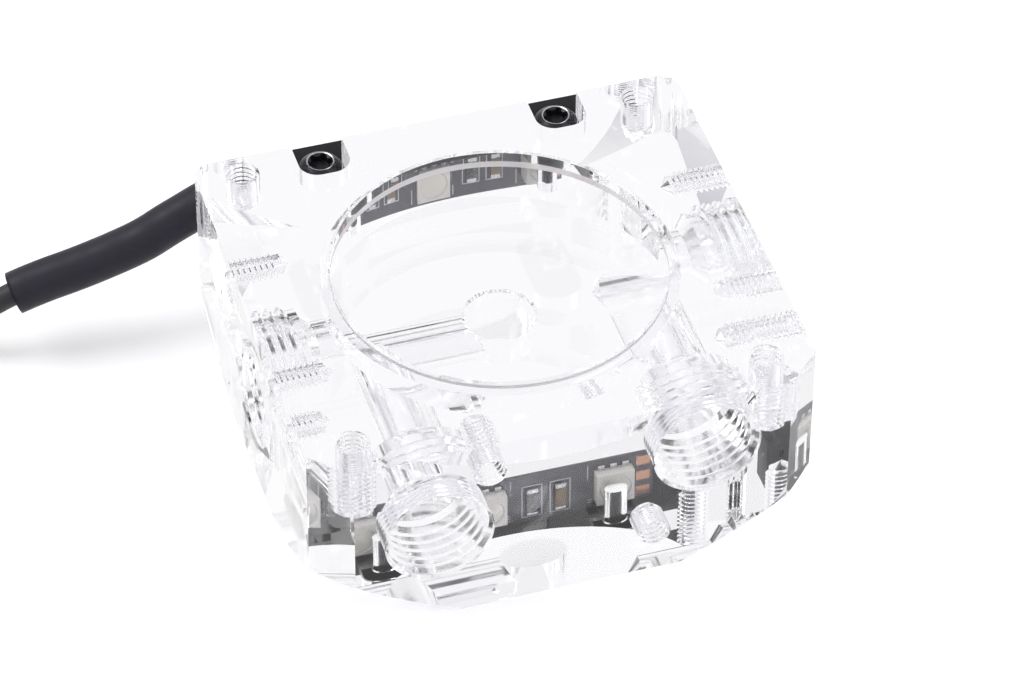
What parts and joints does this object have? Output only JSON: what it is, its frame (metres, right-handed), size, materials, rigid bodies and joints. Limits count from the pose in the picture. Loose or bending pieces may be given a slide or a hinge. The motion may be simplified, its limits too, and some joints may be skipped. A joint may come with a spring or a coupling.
{
  "type": "water cooling pump top",
  "caption": "Clear block that closes a small water pump: round pump cavity on top, threaded ports in the sides and front, and a black cover with a light strip and its lead at the back.",
  "frame": {"origin": "centre of the pump cavity's axis, on the outer face that the block lies on", "axes": "+Z along the cavity axis towards the pump, -Y towards the front face with two ports, +X towards the side outlet port"},
  "size_m": [0.1385, 0.0647, 0.0258],
  "materials": {
    "clear_acrylic": "polished clear acrylic",
    "black_plastic": "fine matte",
    "black_screw": "black oxide",
    "black_board": "solder mask",
    "light_body": "white moulded",
    "light_lens": "clear resin",
    "resistor_body": "glazed ceramic",
    "capacitor_body": "ceramic",
    "copper_pad": "bare copper",
    "wire_skin": "soft sheath",
    "shrink_tube": "satin polyolefin",
    "cable_skin": "satin sheath",
    "tie_skin": "matte",
    "connector_body": "matte nylon",
    "contact_metal": "plated"
  },
  "bodies": {
    "root": {"acrylic_block": "clear_acrylic", "light_cover": "black_plastic", "cover_screws": "black_screw", "strip_board": "black_board", "light_packages": "light_body", "light_lenses": "light_lens", "chip_resistors": "resistor_body", "chip_capacitors": "capacitor_body", "solder_pads": "copper_pad", "lead_wires": "wire_skin", "shrink_sleeve": "shrink_tube", "cable": "cable_skin", "cable_coil": "cable_skin", "coil_tie": "tie_skin", "connector": "connector_body", "connector_contacts": "contact_metal"}
  },
  "joints": []
}
